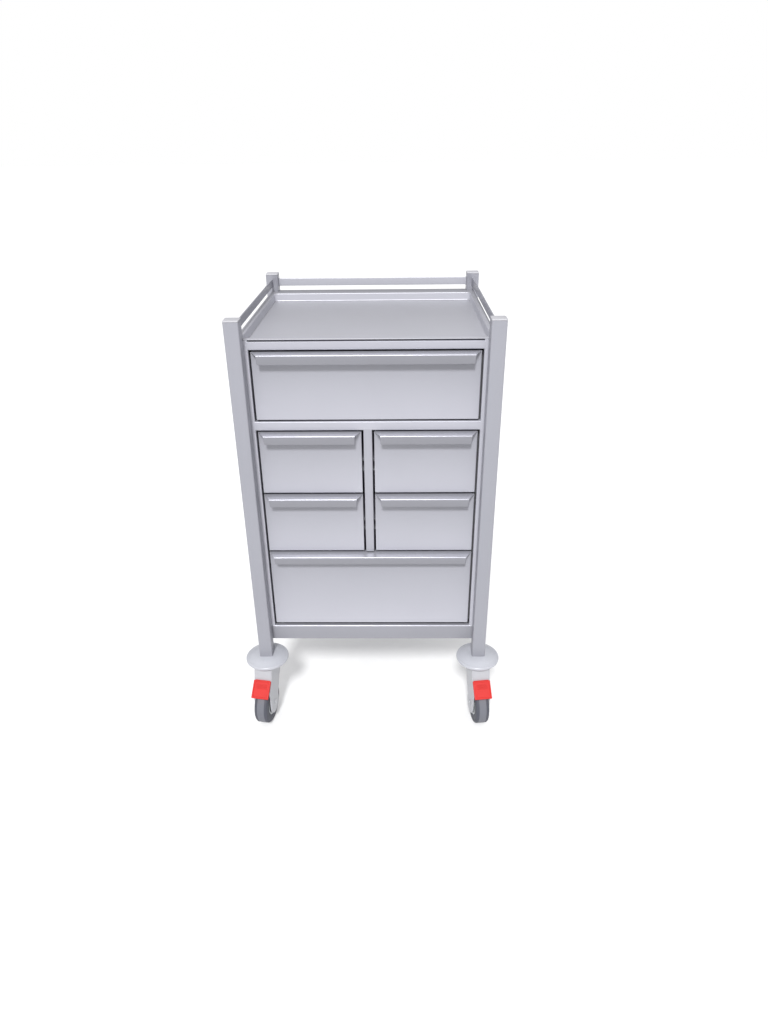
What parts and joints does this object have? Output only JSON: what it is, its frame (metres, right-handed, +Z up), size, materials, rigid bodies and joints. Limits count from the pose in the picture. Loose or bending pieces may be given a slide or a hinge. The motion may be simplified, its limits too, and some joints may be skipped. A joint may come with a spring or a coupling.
{
  "type": "instrument cart",
  "caption": "Square-tube clinic cart with a sunken top tray behind guard rails, sliding drawers with folded grips, and swivel casters with foot brakes.",
  "frame": {"origin": "on the floor under the middle of the cart", "axes": "+Z up, the drawers open towards -Y, +X to the right as seen from the drawer side"},
  "size_m": [0.6, 0.6792, 0.955],
  "materials": {
    "frame_steel": "satin ground stainless tube and bar, grain along the length",
    "sheet_steel": "satin stainless sheet, fine horizontal grain",
    "inner_steel": "mill-finish sheet inside the cabinet",
    "cap_plastic": "light grey moulded insert cap",
    "bumper_plastic": "smooth pale grey moulded plastic",
    "caster_plastic": "smooth off-white moulded housing",
    "hub_plastic": "pale grey moulded wheel centre",
    "tyre_rubber": "dark grey non-marking tread",
    "zinc_steel": "bright zinc-plated steel",
    "pedal_plastic": "red moulded pedal with three raised grip lines"
  },
  "bodies": {
    "frame": {"post_front_left": "frame_steel", "post_cap_front_left": "cap_plastic", "bumper_disc_front_left": "bumper_plastic", "caster_stem_front_left": "zinc_steel", "post_front_right": "frame_steel", "post_cap_front_right": "cap_plastic", "bumper_disc_front_right": "bumper_plastic", "caster_stem_front_right": "zinc_steel", "post_rear_left": "frame_steel", "post_cap_rear_left": "cap_plastic", "bumper_disc_rear_left": "bumper_plastic", "caster_stem_rear_left": "zinc_steel", "post_rear_right": "frame_steel", "post_cap_rear_right": "cap_plastic", "bumper_disc_rear_right": "bumper_plastic", "caster_stem_rear_right": "zinc_steel", "guard_rail_left": "frame_steel", "guard_rail_right": "frame_steel", "guard_rail_rear": "frame_steel", "top_tray": "sheet_steel", "side_panel_left": "sheet_steel", "side_panel_right": "sheet_steel", "back_panel": "sheet_steel", "bottom_panel": "sheet_steel", "top_rail": "sheet_steel", "middle_rail": "sheet_steel", "bottom_rail": "sheet_steel", "centre_partition": "sheet_steel", "slide_liner_left": "inner_steel", "slide_liner_right": "inner_steel"},
    "drawer_top": {"drawer_front_top": "sheet_steel", "drawer_box_top": "inner_steel"},
    "drawer_upper_left": {"drawer_front_upper_left": "sheet_steel", "drawer_box_upper_left": "inner_steel"},
    "drawer_upper_right": {"drawer_front_upper_right": "sheet_steel", "drawer_box_upper_right": "inner_steel"},
    "drawer_lower_left": {"drawer_front_lower_left": "sheet_steel", "drawer_box_lower_left": "inner_steel"},
    "drawer_lower_right": {"drawer_front_lower_right": "sheet_steel", "drawer_box_lower_right": "inner_steel"},
    "drawer_bottom": {"drawer_front_bottom": "sheet_steel", "drawer_box_bottom": "inner_steel"},
    "caster_front_left": {"caster_fork_front_left": "caster_plastic", "axle_front_left": "zinc_steel"},
    "wheel_front_left": {"wheel_hub_front_left": "hub_plastic", "tyre_front_left": "tyre_rubber"},
    "pedal_front_left": {"brake_pedal_front_left": "pedal_plastic"},
    "caster_front_right": {"caster_fork_front_right": "caster_plastic", "axle_front_right": "zinc_steel"},
    "wheel_front_right": {"wheel_hub_front_right": "hub_plastic", "tyre_front_right": "tyre_rubber"},
    "pedal_front_right": {"brake_pedal_front_right": "pedal_plastic"},
    "caster_rear_left": {"caster_fork_rear_left": "caster_plastic", "axle_rear_left": "zinc_steel"},
    "wheel_rear_left": {"wheel_hub_rear_left": "hub_plastic", "tyre_rear_left": "tyre_rubber"},
    "caster_rear_right": {"caster_fork_rear_right": "caster_plastic", "axle_rear_right": "zinc_steel"},
    "wheel_rear_right": {"wheel_hub_rear_right": "hub_plastic", "tyre_rear_right": "tyre_rubber"}
  },
  "joints": [
    {"name": "drawer_top_slide", "type": "slide", "parent": "frame", "child": "drawer_top", "axis": [0, -1, 0], "range_m": [0, 0.33]},
    {"name": "drawer_upper_left_slide", "type": "slide", "parent": "frame", "child": "drawer_upper_left", "axis": [0, -1, 0], "range_m": [0, 0.33]},
    {"name": "drawer_upper_right_slide", "type": "slide", "parent": "frame", "child": "drawer_upper_right", "axis": [0, -1, 0], "range_m": [0, 0.33]},
    {"name": "drawer_lower_left_slide", "type": "slide", "parent": "frame", "child": "drawer_lower_left", "axis": [0, -1, 0], "range_m": [0, 0.33]},
    {"name": "drawer_lower_right_slide", "type": "slide", "parent": "frame", "child": "drawer_lower_right", "axis": [0, -1, 0], "range_m": [0, 0.33]},
    {"name": "drawer_bottom_slide", "type": "slide", "parent": "frame", "child": "drawer_bottom", "axis": [0, -1, 0], "range_m": [0, 0.33]},
    {"name": "caster_front_left_swivel", "type": "hinge", "parent": "frame", "child": "caster_front_left", "pos_m": [-0.25, -0.255, 0.154], "axis": [0, 0, 1], "continuous": true},
    {"name": "wheel_front_left_spin", "type": "hinge", "parent": "caster_front_left", "child": "wheel_front_left", "pos_m": [-0.25532, -0.28858, 0.05], "axis": [0.9877, -0.1564, 0], "continuous": true},
    {"name": "pedal_front_left_press", "type": "hinge", "parent": "caster_front_left", "child": "pedal_front_left", "pos_m": [-0.25707, -0.29964, 0.1199], "axis": [0.9877, -0.1564, 0], "range_deg": [0, 9]},
    {"name": "caster_front_right_swivel", "type": "hinge", "parent": "frame", "child": "caster_front_right", "pos_m": [0.25, -0.255, 0.154], "axis": [0, 0, 1], "continuous": true},
    {"name": "wheel_front_right_spin", "type": "hinge", "parent": "caster_front_right", "child": "wheel_front_right", "pos_m": [0.25414, -0.28875, 0.05], "axis": [0.9925, 0.1219, 0], "continuous": true},
    {"name": "pedal_front_right_press", "type": "hinge", "parent": "caster_front_right", "child": "pedal_front_right", "pos_m": [0.25551, -0.29986, 0.1199], "axis": [0.9925, 0.1219, 0], "range_deg": [0, 9]},
    {"name": "caster_rear_left_swivel", "type": "hinge", "parent": "frame", "child": "caster_rear_left", "pos_m": [-0.25, 0.255, 0.154], "axis": [0, 0, 1], "continuous": true},
    {"name": "wheel_rear_left_spin", "type": "hinge", "parent": "caster_rear_left", "child": "wheel_rear_left", "pos_m": [-0.25355, 0.28881, 0.05], "axis": [-0.9945, -0.1045, 0], "continuous": true},
    {"name": "caster_rear_right_swivel", "type": "hinge", "parent": "frame", "child": "caster_rear_right", "pos_m": [0.25, 0.255, 0.154], "axis": [0, 0, 1], "continuous": true},
    {"name": "wheel_rear_right_spin", "type": "hinge", "parent": "caster_rear_right", "child": "wheel_rear_right", "pos_m": [0.25237, 0.28892, 0.05], "axis": [-0.9976, 0.0698, 0], "continuous": true}
  ]
}
